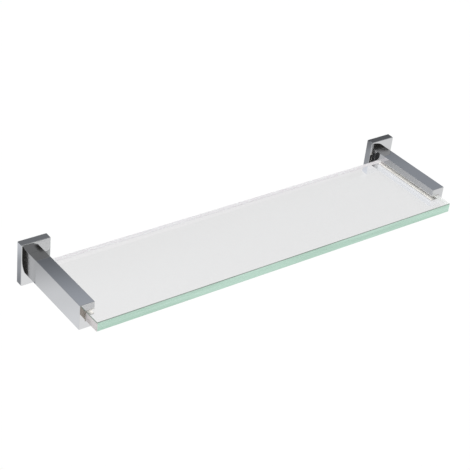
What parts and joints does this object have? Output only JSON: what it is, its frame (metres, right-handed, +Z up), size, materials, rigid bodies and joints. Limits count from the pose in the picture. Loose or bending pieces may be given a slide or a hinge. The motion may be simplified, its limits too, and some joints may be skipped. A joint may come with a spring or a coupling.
{
  "type": "wall shelf with brackets",
  "caption": "Clear glass plate held at both ends in slotted rectangular chrome arms that stand out of rectangular wall rosettes.",
  "frame": {"origin": "on the wall, midway between the two brackets and level with the middle of their rosettes, which is the centre of the four wall screw holes", "axes": "+X along the shelf to the right as seen from the room, +Y into the wall, +Z up"},
  "size_m": [0.45, 0.1165, 0.045],
  "materials": {
    "clear_glass": "clear float glass, ground and polished edges",
    "chrome": "bright chrome plate on zinc and brass",
    "zinc_steel": "zinc-plated stamped steel",
    "stainless": "turned stainless steel",
    "nylon": "natural nylon",
    "clear_liner": "clear soft vinyl"
  },
  "bodies": {
    "root": {"glass_shelf": "clear_glass", "left_rosette": "chrome", "left_wall_plate": "zinc_steel", "left_arm": "chrome", "left_glass_liner": "clear_liner", "left_arm_screw": "stainless", "left_lock_washer": "stainless", "left_locating_pins": "stainless", "left_rosette_lock_screw": "stainless", "left_clamp_pads": "nylon", "left_clamp_screws": "stainless", "right_rosette": "chrome", "right_wall_plate": "zinc_steel", "right_arm": "chrome", "right_glass_liner": "clear_liner", "right_arm_screw": "stainless", "right_lock_washer": "stainless", "right_locating_pins": "stainless", "right_rosette_lock_screw": "stainless", "right_clamp_pads": "nylon", "right_clamp_screws": "stainless"}
  },
  "joints": []
}
